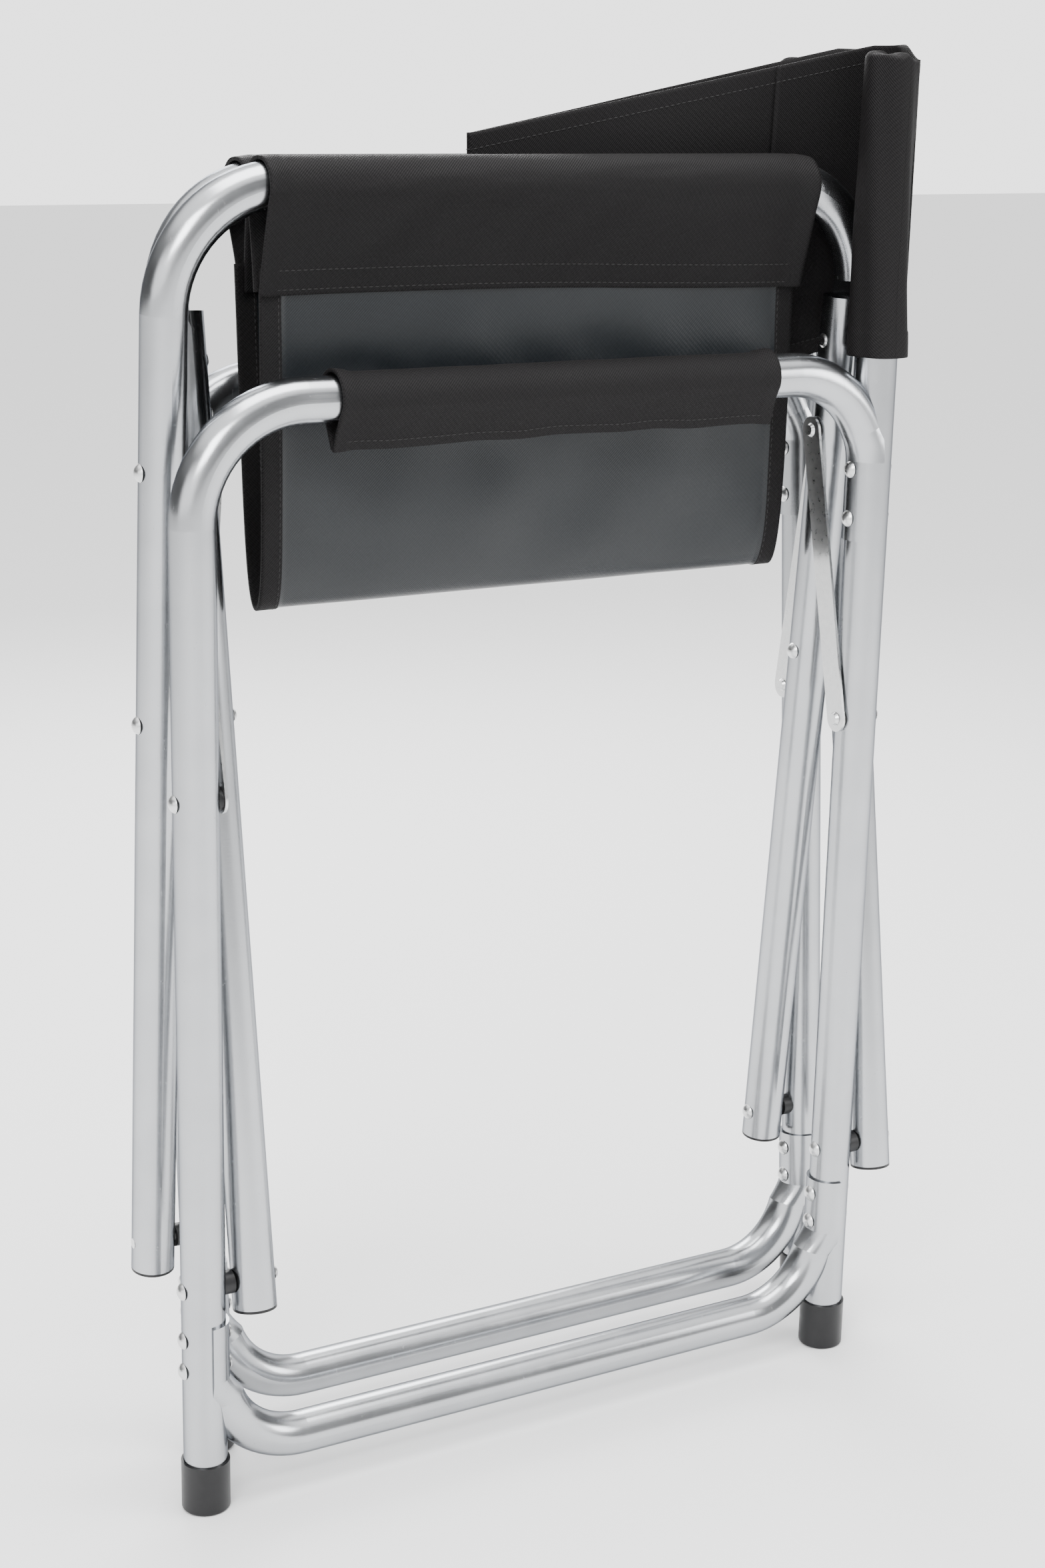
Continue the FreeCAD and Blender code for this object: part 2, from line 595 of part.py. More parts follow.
def link(label, low, high, side):
    """A flat link between two world points, on the side (+1 or -1) of its legs along Y."""
    face = TUBE + dim("washer_depth") + dim("run_gap") / 2
    depth, half = dim("link_depth"), dim("link_width") / 2
    start = face if side > 0 else -face - depth
    lift = BACK * start
    low, high = low + lift, high + lift
    run = high - low
    across = run.cross(BACK).normalize() * half
    corners = [low + across, high + across, high - across, low - across, low + across]
    bar = Part.Face(Part.makePolygon(corners)).extrude(BACK * depth)
    ends = [rod(half, at, 0, depth, BACK) for at in (low, high)]
    bore = rod(dim("pin_radius") + GAP, low, 0, depth, BACK)
    solid(label, joined([bar] + ends).cut(bore), Placement())
    outer = BACK * (depth if side > 0 else 0)
    rolled = rolled_end(high + outer, BACK * side, dim("tail_height"))
    solid(f"{label}_rivet_end", rolled, Placement())


def links(side, where):
    """The front or rear link of one side, with its rivets' ends and washers' places."""
    front = where == "front"
    leg_y = 0.0 if front else DEPTH
    low = SIDE_FRAMES[side].multVec(Vector(0, leg_y, dim("link_low")))
    seat_y = DEPTH - leg_y if side == "far" else leg_y
    high = SEAT_FRAMES[side].multVec(Vector(0, seat_y, dim("link_high")))
    link(f"{side}_{where}_link", low, high, 1 if front else -1)


def link_hardware(side):
    """Rivets and washers of a side's two links, one group on each frame."""
    low, high = dim("link_low"), dim("link_high")
    for frame, z, through in (("side", low, True), ("seat", high, False)):
        placement = (SIDE_FRAMES if frame == "side" else SEAT_FRAMES)[side]
        pins = [link_rivet_shapes(y, z, out, through) for y, out in ((0.0, 1), (DEPTH, -1))]
        solid(f"{side}_{frame}_link_rivets", Part.makeCompound(pins), placement)
        rings = [link_washer(y, z, out) for y, out in ((0.0, 1), (DEPTH, -1))]
        solid(f"{side}_{frame}_link_washers", Part.makeCompound(rings), placement)


# ---------------------------------------------------------------- seat and back cloth

def band(edges, thickness, direction):
    """A closed solid of cloth: an open outline thickened in its plane, then extruded."""
    face = Part.Wire(edges).makeOffset2D(thickness, 0, True, True)
    return face.extrude(direction)


def rail_bends():
    """The space of the near seat rail's two bends, plus their fit, as whole rings."""
    radius = dim("rail_bend")
    centres = (radius, DEPTH + dim("rail_offset") - radius)
    rings = [Part.makeTorus(radius, TUBE + GAP, Vector(0, y, dim("rail_level") - radius), SIDEWAYS)
             for y in centres]
    space = Part.makeCompound(rings)
    space.Placement = SEAT_FRAMES["near"]
    return space


def seat_cloth(side):
    """Half of the seat: a sleeve on the rail, its hem, and the panel down to the fold."""
    turn = HALF_TURNS[side]
    rail = SEAT_FRAMES["near"].multVec(Vector(0, 0, dim("rail_level")))
    length = dim("seat_length")
    at = Vector(rail.x, dim("seat_start") - HALF_DEPTH, rail.z)
    sleeve = rod(SLEEVE + CLOTH, at, 0, length, BACK).cut(rod(SLEEVE, at, 0, length, BACK))
    hem_top = rail.z - SLEEVE - CLOTH / 2
    hem_low = rail.z - dim("seat_hem")
    hem = Part.makeBox(2 * CLOTH, length, hem_top - hem_low, Vector(at.x - CLOTH, at.y, hem_low))
    wrapped = largest(joined([sleeve, hem]).cut(rail_bends()))
    radius, bottom = dim("seat_fold_radius"), dim("seat_fold_level")
    start = Vector(radius, at.y, bottom + radius)
    low = 1 - math.sqrt(0.5)
    middle = Vector(radius * (1 - low), at.y, bottom + radius * low)
    fold = Vector(GAP, at.y, bottom)
    top = Vector(at.x - CLOTH, at.y, hem_low + (2 * CLOTH if side == "near" else -CLOTH))
    panel = band([Part.makeLine(top, start), Part.Arc(start, middle, fold).toShape()], CLOTH, BACK * length)
    if side == "far":
        solid("far_seat_sleeve", wrapped, turn)
        solid("far_seat_cloth", panel, turn)
    else:
        solid("near_seat_cloth", joined([wrapped, panel]), turn)


def back_cloth(side):
    """Half of the folded back: from the post's sleeve inward, then forward to the fold."""
    sign = 1 if side == "near" else -1
    frame = SIDE_FRAMES[side]
    low = frame.multVec(Vector(0, DEPTH, dim("back_sleeve_low")))
    high = frame.multVec(Vector(0, DEPTH, dim("back_sleeve_high")))
    inset = SLEEVE + CLOTH + dim("cloth_gap")
    turn_x = sign * dim("back_turn_x")
    turn_y = low.y + dim("back_turn_gap")
    fold_y = dim("back_fold_y") - HALF_DEPTH
    start_x = low.x - sign * inset
    run = dim("back_turn_round")
    outline = [Vector(start_x, turn_y, low.z), Vector(turn_x + sign * run, turn_y, low.z),
               Vector(turn_x, turn_y - run, low.z), Vector(sign * GAP, fold_y, low.z)]
    edges = [Part.makeLine(first, last) for first, last in zip(outline, outline[1:])]
    panel = band(edges, -sign * CLOTH, UP * (high.z - low.z))
    drop = dim("back_panel_top")
    slope = [Vector(0, turn_y + 1, high.z), Vector(0, fold_y - 5, high.z - drop),
             Vector(0, fold_y - 5, high.z + 5), Vector(0, turn_y + 1, high.z + 5)]
    wedge = Part.Face(Part.makePolygon(slope + slope[:1])).extrude(SIDEWAYS * 8 * TUBE)
    wedge.translate(SIDEWAYS * -4 * TUBE)
    solid(f"{side}_back_cloth", panel.cut(wedge), Placement())


# ---------------------------------------------------------------- the whole chair

for side in ("near", "far"):
    side_frame(side)
    seat_frame(side)
    link_hardware(side)
    for where in ("front", "rear"):
        links(side, where)
    seat_cloth(side)
    back_cloth(side)

# The far seat frame's bottom pivots ride on the near side frame, and the other way round.
LEGS = (0.0, DEPTH)
pivots("near_bottom_pivot", 0.0, SIDE_FRAMES["near"], LEGS, 1)
pivots("far_bottom_pivot", 0.0, SIDE_FRAMES["far"], LEGS, -1)
pivots("crossing_pivot", dim("cross_pivot"), SEAT_FRAMES["near"], LEGS, 1)

doc.recompute()
for item in doc.Objects:
    if {"Invalid", "Error"} & set(item.State):
        raise ValueError(f"{item.Name}: {item.State}")
for part in parts:
    if part.Shape.isNull() or not part.Shape.isValid():
        raise ValueError(f"{part.Label}: null or invalid shape")

os.makedirs("parts", exist_ok=True)
for part in parts:
    part.Shape.exportStep(f"parts/{part.Label}.step")
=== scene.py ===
"""Looks of the folding camp chair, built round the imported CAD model."""
import json
import math

import bpy
import numpy as np
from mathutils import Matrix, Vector, noise


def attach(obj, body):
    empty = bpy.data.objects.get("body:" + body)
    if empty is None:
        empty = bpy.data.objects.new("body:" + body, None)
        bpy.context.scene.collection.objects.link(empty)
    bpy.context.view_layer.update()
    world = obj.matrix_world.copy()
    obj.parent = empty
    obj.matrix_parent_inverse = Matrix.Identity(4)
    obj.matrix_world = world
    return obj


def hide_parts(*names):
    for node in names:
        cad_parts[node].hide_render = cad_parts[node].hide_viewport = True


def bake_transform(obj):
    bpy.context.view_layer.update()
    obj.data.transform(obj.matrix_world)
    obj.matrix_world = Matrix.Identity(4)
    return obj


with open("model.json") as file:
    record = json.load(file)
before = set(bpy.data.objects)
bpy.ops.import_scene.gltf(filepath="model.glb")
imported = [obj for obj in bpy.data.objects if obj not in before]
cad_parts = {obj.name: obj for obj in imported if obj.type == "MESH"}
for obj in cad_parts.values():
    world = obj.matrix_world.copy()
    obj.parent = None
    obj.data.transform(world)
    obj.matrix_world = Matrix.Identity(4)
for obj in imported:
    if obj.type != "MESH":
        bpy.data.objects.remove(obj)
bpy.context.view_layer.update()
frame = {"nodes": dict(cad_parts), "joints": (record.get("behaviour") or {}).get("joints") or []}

MM = 0.001

# ---------------------------------------------------------------- places, read from the frame

JOINTS = {joint["name"]: joint for joint in frame["joints"]}


def pivot(name):
    """A joint's place at rest."""
    return Vector(JOINTS[name]["pos_m"])


BOTTOM = pivot("fold")                          # the near bottom pivot, midway between its legs
RAIL = pivot("near_seat_cloth_turn")            # a point on the near seat rail's axis
LEAN = math.radians(2.38)                       # outward lean of each folded side frame
TUBE = 12.5 * MM                                # radius of the rails, armrests and posts
LEG_SPAN = 429 * MM                             # front leg axis to rear leg axis in a frame
PITCH = 30 * MM                                 # between two layers of crossing tubes
FRONT = BOTTOM.y - (LEG_SPAN + PITCH) / 2       # axis of the near front leg
POST = FRONT + LEG_SPAN                         # axis of the near back post
CLOTH_HALF = 0.55 * MM                          # half the thickness of one layer of cloth


def side_point(side, along, up, out=0.0):
    """A point in a side frame: along runs back from its front leg, up from its bottom pivot."""
    sign = 1 if side == "near" else -1
    x = BOTTOM.x + up * math.sin(LEAN) + out * math.cos(LEAN)
    z = BOTTOM.z + up * math.cos(LEAN) - out * math.sin(LEAN)
    return Vector((sign * x, FRONT + along + (0 if side == "near" else PITCH), z))


def ramp(value, low, high):
    """0 below low, 1 above high and smooth between."""
    t = min(max((value - low) / (high - low), 0.0), 1.0)
    return t * t * (3 - 2 * t)


def ripple(x, y, z, scale, seed):
    """Smooth noise of about unit size, with features about scale metres wide."""
    return noise.noise(Vector((x / scale + seed, y / scale - seed, z / scale + 2 * seed)))


# ---------------------------------------------------------------- materials

class Shader:
    """A Principled material and short ways to add nodes to it."""

    def __init__(self, name, color, roughness, metallic=0.0, specular=0.5):
        self.material = bpy.data.materials.new(name)
        self.material.use_nodes = True
        self.tree = self.material.node_tree
        self.surface = self.tree.nodes["Principled BSDF"]
        self.surface.inputs["Base Color"].default_value = (*color, 1)
        self.surface.inputs["Roughness"].default_value = roughness
        self.surface.inputs["Metallic"].default_value = metallic
        self.surface.inputs["Specular IOR Level"].default_value = specular

    def node(self, kind, inputs=None, **settings):
        made = self.tree.nodes.new(f"ShaderNode{kind}")
        for name, value in settings.items():
            setattr(made, name, value)
        for key, value in (inputs or {}).items():
            if isinstance(value, bpy.types.NodeSocket):
                self.tree.links.new(value, made.inputs[key])
            else:
                made.inputs[key].default_value = value
        return made

    def math(self, operation, first, second=0.0, third=0.0):
        return self.node("Math", {0: first, 1: second, 2: third}, operation=operation).outputs[0]

    def stretched(self, vector, scale):
        return self.node("Mapping", {"Vector": vector, "Scale": scale}).outputs[0]

    def noise(self, vector, scale, detail=3.0, roughness=0.5):
        inputs = {"Vector": vector, "Scale": scale, "Detail": detail, "Roughness": roughness}
        return self.node("TexNoise", inputs).outputs["Fac"]

    def spread(self, value, low, high):
        """A 0..1 value spread over low..high."""
        return self.node("MapRange", {"Value": value, "To Min": low, "To Max": high}).outputs[0]

    def between(self, value, low, high, first, last):
        """A value whose range low..high is spread over first..last."""
        inputs = {"Value": value, "From Min": low, "From Max": high, "To Min": first, "To Max": last}
        return self.node("MapRange", inputs).outputs[0]

    def shades(self, value, dark, light):
        """Colours from dark to light as value goes from 0 to 1."""
        mix = self.node("Mix", data_type="RGBA")
        self.tree.links.new(value, mix.inputs[0])
        mix.inputs[6].default_value = (*dark, 1)
        mix.inputs[7].default_value = (*light, 1)
        return mix.outputs[2]

    def bump(self, height, strength, distance):
        made = self.node("Bump", {"Height": height, "Strength": strength, "Distance": distance})
        self.tree.links.new(made.outputs[0], self.surface.inputs["Normal"])

    def drive(self, socket, value):
        self.tree.links.new(value, self.surface.inputs[socket])


def aluminium():
    """Satin tube: fine draw lines along it, a faint cloudiness and a few handling marks."""
    s = Shader("satin_aluminium", (0.45, 0.46, 0.48), 0.25, 1.0)
    s.surface.inputs["Anisotropic"].default_value = 0.35
    s.surface.inputs["Specular Tint"].default_value = (0.30, 0.31, 0.33, 1)
    place = s.node("TexCoord").outputs["Object"]
    turn = s.node("SeparateXYZ", {0: s.node("NewGeometry").outputs["Normal"]})
    back, up = (s.math("ABSOLUTE", turn.outputs[axis]) for axis in ("Y", "Z"))
    level = s.math("DIVIDE", up, s.math("ADD", s.math("ADD", back, up), 0.0005))
    upright_lines = s.noise(s.stretched(place, (2600, 2600, 14)), 1.0, 2.0)
    level_lines = s.noise(s.stretched(place, (2600, 14, 2600)), 1.0, 2.0)
    lines = s.node("Mix", {0: level, 2: upright_lines, 3: level_lines}).outputs[0]
    clouds = s.noise(place, 34.0, 4.0, 0.6)
    marks = s.noise(s.stretched(place, (420, 420, 160)), 1.0, 6.0, 0.7)
    rough = s.math("ADD", s.spread(clouds, 0.15, 0.27), s.spread(lines, -0.03, 0.05))
    s.drive("Roughness", s.math("ADD", rough, s.between(marks, 0.6, 0.75, 0.0, 0.10)))
    s.drive("Base Color", s.shades(clouds, (0.39, 0.40, 0.415), (0.50, 0.51, 0.525)))
    s.bump(lines, 0.16, 0.00012)
    return s.material


def zinc():
    """Plated steel of rivets and links: slightly milky, with soft spots."""
    s = Shader("zinc_plated_steel", (0.66, 0.67, 0.68), 0.28, 1.0)
    place = s.node("TexCoord").outputs["Object"]
    spots = s.noise(place, 260.0, 5.0, 0.65)
    s.drive("Roughness", s.spread(spots, 0.18, 0.42))
    s.drive("Base Color", s.shades(spots, (0.52, 0.53, 0.54), (0.80, 0.80, 0.79)))
    s.bump(s.noise(place, 900.0, 3.0), 0.12, 0.0002)
    return s.material


def black_plastic():
    """Moulded caps and spacers: semi-gloss with a fine spark-eroded texture and dull scuffs."""
    s = Shader("black_moulded_plastic", (0.008, 0.008, 0.009), 0.36, specular=0.35)
    place = s.node("TexCoord").outputs["Object"]
    scuffs = s.noise(place, 120.0, 6.0, 0.7)
    s.drive("Roughness", s.spread(scuffs, 0.26, 0.52))
    s.drive("Base Color", s.shades(scuffs, (0.004, 0.004, 0.0045), (0.013, 0.013, 0.014)))
    s.bump(s.noise(place, 2600.0, 2.0), 0.25, 0.00015)
    return s.material


def woven(name, dark, light, thread, slant, roughness, depth, gloss):
    """Cloth whose threads follow the UV map, which is in metres; slant 1 makes it a twill. The grooves
    between threads are painted darker, as painted shade.
    """
    s = Shader(name, light, roughness, specular=gloss)
    across = s.node("SeparateXYZ", {0: s.node("TexCoord").outputs["UV"]})
    place = s.node("TexCoord").outputs["Object"]
    step = 2 * math.pi / thread
    u, v = (s.math("MULTIPLY", across.outputs[axis], step) for axis in ("X", "Y"))
    rib = s.math("SINE", s.math("ADD", u, s.math("MULTIPLY", v, slant)))
    fill = s.math("SINE", s.math("MULTIPLY", s.math("SUBTRACT", v, s.math("MULTIPLY", u, slant)), 0.5))
    weave = s.math("ADD", s.math("MULTIPLY", rib, 0.34), s.math("MULTIPLY", fill, 0.16))
    height = s.math("ADD", weave, 0.5)
    slub = s.noise(place, 480.0, 3.0, 0.6)
    wash = s.noise(place, 18.0, 3.0, 0.5)
    # Colour: the weave's height paints shade into the grooves between threads and makes the thread tops
    # lighter; slub and wash add random tone.
    groove_shade_and_tone = s.math("ADD", s.math("MULTIPLY", height, 0.62), s.math("MULTIPLY", slub, 0.22))
    groove_shade_and_tone = s.math("ADD", groove_shade_and_tone, s.math("MULTIPLY", wash, 0.24))
    s.drive("Base Color", s.shades(groove_shade_and_tone, dark, light))
    s.drive("Roughness", s.between(wash, 0.3, 0.7, roughness - 0.05, roughness + 0.06))
    s.bump(s.math("ADD", height, s.math("MULTIPLY", slub, 0.5)), depth, 0.0003)
    return s.material


def sewing_thread():
    """Twisted black thread, a little brighter than the cloth."""
    s = Shader("black_thread", (0.02, 0.019, 0.019), 0.6, specular=0.2)
    place = s.node("TexCoord").outputs["Object"]
    twist = s.noise(place, 2200.0, 2.0)
    s.drive("Base Color", s.shades(twist, (0.008, 0.008, 0.008), (0.034, 0.033, 0.034)))
    s.bump(twist, 0.5, 0.0002)
    return s.material


ALUMINIUM = aluminium()
ZINC = zinc()
PLASTIC = black_plastic()
TWILL = woven("black_twill", (0.0006, 0.0005, 0.0006), (0.0128, 0.0118, 0.0123), thread=0.0016,
              slant=1.0, roughness=0.66, depth=0.9, gloss=0.13)
COATED = woven("grey_coated_cloth", (0.0018, 0.0027, 0.0036), (0.0076, 0.0100, 0.0126), thread=0.0016,
               slant=1.0, roughness=0.33, depth=0.30, gloss=0.38)
THREAD = sewing_thread()
CLOTHS = (TWILL, COATED)

for node_name, node in frame["nodes"].items():
    if node_name.endswith(("_rivets", "_link", "_rivet_end")):
        look = ZINC
    elif node_name.endswith(("_foot", "_plugs", "_washers", "_spacers")):
        look = PLASTIC
    else:
        look = ALUMINIUM
    node.data.materials.clear()
    node.data.materials.append(look)


# ---------------------------------------------------------------- sheets of cloth and stitches

def even_half(_u, _v):
    """Half the thickness of a sheet without hems."""
    return CLOTH_HALF


def grid(place, columns, rows):
    """Points place(a, b) of a surface, with a and b running from 0 to 1."""
    return np.array([[place(i / columns, j / rows) for j in range(rows + 1)]
                     for i in range(columns + 1)], float)


class Sheet:
    """A sheet of cloth over a grid of points, with its lengths u and v along both directions."""

    def __init__(self, points):
        self.points = points
        self.columns, self.rows = points.shape[0] - 1, points.shape[1] - 1
        along, up = np.gradient(points, axis=(0, 1))
        normals = np.cross(along, up)
        self.normals = normals / np.linalg.norm(normals, axis=2, keepdims=True)
        self.u = self._lengths(points[:, self.rows // 2])
        self.v = self._lengths(points[self.columns // 2])

    @staticmethod
    def _lengths(line):
        return np.concatenate([[0], np.cumsum(np.linalg.norm(np.diff(line, axis=0), axis=1))])

    def size(self):
        """The sheet's flat size in metres."""
        return float(self.u[-1]), float(self.v[-1])

    def at(self, a, b):
        """Point and normal at a, b, with a and b as shares of the lengths."""
        i = np.interp(a * self.u[-1], self.u, np.arange(self.columns + 1))
        j = np.interp(b * self.v[-1], self.v, np.arange(self.rows + 1))
        i0, j0 = min(int(i), self.columns - 1), min(int(j), self.rows - 1)
        x, y = i - i0, j - j0
        mixed = []
        for values in (self.points, self.normals):
            low = values[i0, j0] * (1 - x) + values[i0 + 1, j0] * x
            high = values[i0, j0 + 1] * (1 - x) + values[i0 + 1, j0 + 1] * x
            mixed.append(low * (1 - y) + high * y)
        return mixed

    def build(self, name, half=even_half, look=None):
        """The closed mesh; half(u, v) is half the thickness and look(u, v) a material's index."""
        n = self.rows + 1
        grow = np.array([[half(u, v) for v in self.v] for u in self.u])[..., None]
        sides = np.concatenate([(self.points + self.normals * grow).reshape(-1, 3),
                                (self.points - self.normals * grow).reshape(-1, 3)])
        other = n * (self.columns + 1)
        faces = []
        for i in range(self.columns):
            for j in range(self.rows):
                a, b = i * n + j, (i + 1) * n + j
                faces += [(a, b, b + 1, a + 1), (other + a + 1, other + b + 1, other + b, other + a)]
        last = self.columns * n
        rims = []
        for i in range(self.columns):
            rims += [(i * n, (i + 1) * n, False), (i * n + self.rows, (i + 1) * n + self.rows, True)]
        for j in range(self.rows):
            rims += [(j, j + 1, True), (last + j, last + j + 1, False)]
        for a, b, flip in rims:
            rim = (a, other + a, other + b, b)
            faces.append(rim[::-1] if flip else rim)
        mesh = bpy.data.meshes.new(name)
        mesh.from_pydata(sides.tolist(), [], faces)
        for cloth in CLOTHS:
            mesh.materials.append(cloth)
        layer = mesh.uv_layers.new(name="UVMap")
        for face in mesh.polygons:
            face.use_smooth = True
            cells = [divmod(index % other, n) for index in face.vertices]
            for loop, (i, j) in zip(face.loop_indices, cells):
                layer.data[loop].uv = (self.u[i], self.v[j])
            if look:
                middle = np.mean([(self.u[i], self.v[j]) for i, j in cells], axis=0)
                face.material_index = look(*middle)
        mesh.validate()
        made = bpy.data.objects.new(name, mesh)
        bpy.context.collection.objects.link(made)
        return made


STITCH, STITCH_GAP = 2.6 * MM, 1.0 * MM         # a stitch's length and the space between two
THREAD_RADIUS = 0.34 * MM


def stitches(name, sheet, rows, half=CLOTH_HALF):
    """Rows of stitches on both faces of a sheet; a row is (a, b, a, b), its ends as shares."""
    around, rings = 6, (-1.0, -0.72, 0.0, 0.72, 1.0)
    points, faces = [], []
    for a0, b0, a1, b1 in rows:
        width, length = sheet.size()
        run = math.hypot((a1 - a0) * width, (b1 - b0) * length)
        count = max(int(run / (STITCH + STITCH_GAP)), 1)
        for step in range(count):
            here, ahead = ((step + share) / count for share in (0.36, 0.64))
            for side in (1, -1):
                place, normal = sheet.at(a0 + (a1 - a0) * here, b0 + (b1 - b0) * here)
                beyond, _ = sheet.at(a0 + (a1 - a0) * ahead, b0 + (b1 - b0) * ahead)
                along = Vector(beyond - place).normalized()
                out = Vector(normal).normalized() * side
                across = along.cross(out).normalized()
                centre = Vector((place + beyond) / 2) + out * half
                base = len(points)
                for ring in rings:
                    radius = THREAD_RADIUS * math.sqrt(max(1 - ring ** 2, 0.0)) + 0.02 * MM
                    for k in range(around):
                        angle = 2 * math.pi * k / around
                        swing = across * math.cos(angle) + out * math.sin(angle)
                        points.append(centre + along * ring * STITCH / 2 + swing * radius)
                for ring in range(len(rings) - 1):
                    for k in range(around):
                        first, second = base + ring * around + k, base + ring * around + (k + 1) % around
                        faces.append((first, second, second + around, first + around))
                last = base + (len(rings) - 1) * around
                faces.append(tuple(reversed(range(base, base + around))))
                faces.append(tuple(range(last, last + around)))
    mesh = bpy.data.meshes.new(name)
    mesh.from_pydata([tuple(p) for p in points], [], faces)
    mesh.materials.append(THREAD)
    for face in mesh.polygons:
        face.use_smooth = True
    made = bpy.data.objects.new(name, mesh)
    bpy.context.collection.objects.link(made)
    return made


def rounded(points, share):
    """A point of a smooth curve that starts and ends on the given points and nears the rest."""
    points = [Vector(p) for p in points]
    padded_ends = [points[0] * 2 - points[1], *points, points[-1] * 2 - points[-2]]
    place = share * (len(points) - 1)
    k = min(int(place), len(points) - 2)
    t = place - k
    a, b, c, d = padded_ends[k:k + 4]
    return (a * (1 - t) ** 3 + b * (3 * t ** 3 - 6 * t ** 2 + 4)
            + c * (-3 * t ** 3 + 3 * t ** 2 + 3 * t + 1) + d * t ** 3) / 6


def double_at_edges(length, hem):
    """Half thickness that doubles within a hem of both ends of v."""
    def half(_, v):
        edge = min(v, length - v)
        return CLOTH_HALF * (1.75 - 0.75 * ramp(edge, hem - 1 * MM, hem))
    return half


# ---------------------------------------------------------------- armrest sleeves

ARM_UP = 490 * MM                               # armrest's axis, up its frame from the bottom pivot
SLEEVE_RADIUS = TUBE + 1.1 * MM                 # middle of the cloth round a tube


def hanging_loop(share, radius, hem, inner_hem=None):
    """Outline of cloth wrapped over a tube, as (out, up) from the tube's axis.

    It starts at the inner hem, goes over the tube and ends at the outer hem; hem is (out, up).
    """
    out, down = hem
    inner = inner_hem or (out - 1.4 * MM, down + 1.5 * MM)
    tangent = math.radians(-14)
    arc = math.pi - 2 * tangent
    first = (-radius * math.cos(tangent), radius * math.sin(tangent))
    runs = [math.dist(inner, first), radius * arc, math.dist(first, inner)]
    left = share * sum(runs)
    if left <= runs[0]:
        t = left / runs[0]
        sag = 0.9 * MM * math.sin(math.pi * t)
        return inner[0] + (first[0] - inner[0]) * t + sag, inner[1] + (first[1] - inner[1]) * t
    left -= runs[0]
    if left <= runs[1]:
        angle = math.pi - tangent - left / radius
        return radius * math.cos(angle), radius * math.sin(angle)
    t = (left - runs[1]) / runs[2]
    start = (-first[0], first[1])
    sag = -0.9 * MM * math.sin(math.pi * t)
    return start[0] + (out - start[0]) * t + sag, start[1] + (down - start[1]) * t


def arm_sleeve(side):
    """Cloth sleeve round an armrest, sewn shut along its hanging hem."""
    start, length, hem = 79 * MM, 273 * MM, (3.5 * MM, -25.5 * MM)
    seed = 3.0 if side == "near" else 11.0

    def place(a, b):
        out, up = hanging_loop(a, SLEEVE_RADIUS, hem)
        below = ramp(-up, 2 * MM, 24 * MM)
        end = min(b, 1 - b)
        loose = 1 - ramp(end, 0.0, 0.05)
        along = b * length
        swell = 1.5 * MM * ripple(a * 60 * MM, along, 0, 34 * MM, seed) * (0.35 + below)
        swell += 1.5 * MM * loose * (0.6 + 0.4 * math.sin(9 * a + seed))
        flap = 1.6 * MM * below * ripple(0, along, 0, 60 * MM, seed + 5)
        radial = Vector((out, up)).normalized()
        out += radial.x * swell * (1 - 0.6 * below) + flap
        up += radial.y * swell - 1.8 * MM * below * ripple(0, along, 5, 90 * MM, seed + 8)
        slant = 5 * MM * below * (b - 0.5)
        return side_point(side, start + along + slant * 0.4, ARM_UP + up, out)

    name = f"{side}_arm_sleeve"
    sheet = Sheet(grid(place, 88, 190))
    width, depth = sheet.size()
    made = sheet.build(f"{name}_cloth", double_at_edges(depth, 9 * MM))
    hem_row, end_row = 1 - 5 * MM / width, 6.5 * MM / depth
    rows = [(hem_row, 0.012, hem_row, 0.988)]
    rows += [(0.04, edge, 0.97, edge) for edge in (end_row, 1 - end_row)]
    sewn = stitches(f"{name}_stitches", sheet, rows)
    finish_cloth(made, sewn, f"{side}_side", name, sheet)


def finish_cloth(made, sewn, body, node, sheet):
    """Ride a sheet and its stitches on a body, in place of the CAD's plain cloth."""
    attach(made, body)
    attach(sewn, body)
    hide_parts(node)
    sheet.size()


# ---------------------------------------------------------------- seat

SEAT_LENGTH = 341 * MM                          # of a seat sleeve along its rail
SEAT_START = FRONT + 51 * MM                    # front end of the near seat sleeve
SEAT_HEM = 57 * MM                              # a seat sleeve's hem below its rail's axis
SEAT_FOLD = 509 * MM                            # height of the hanging panel's lowest line
RAIL_BEND = 65 * MM                             # radius of a rail's bends
RAIL_END = FRONT + LEG_SPAN + 7 * MM            # where the near rail's rear bend ends
SIDE_SIGNS = {"near": 1, "far": -1}


def half_turned(point, side):
    """The far half of the seat is the near half turned half round the middle of the legs."""
    if side == "near":
        return point
    return Vector((-point.x, 2 * BOTTOM.y - point.y, point.z))


def rail_drop(y):
    """How far the near rail's axis has bent down at a place along it."""
    into = max(FRONT + RAIL_BEND - y, y - (RAIL_END - RAIL_BEND), 0.0)
    return RAIL_BEND - math.sqrt(RAIL_BEND ** 2 - into ** 2)


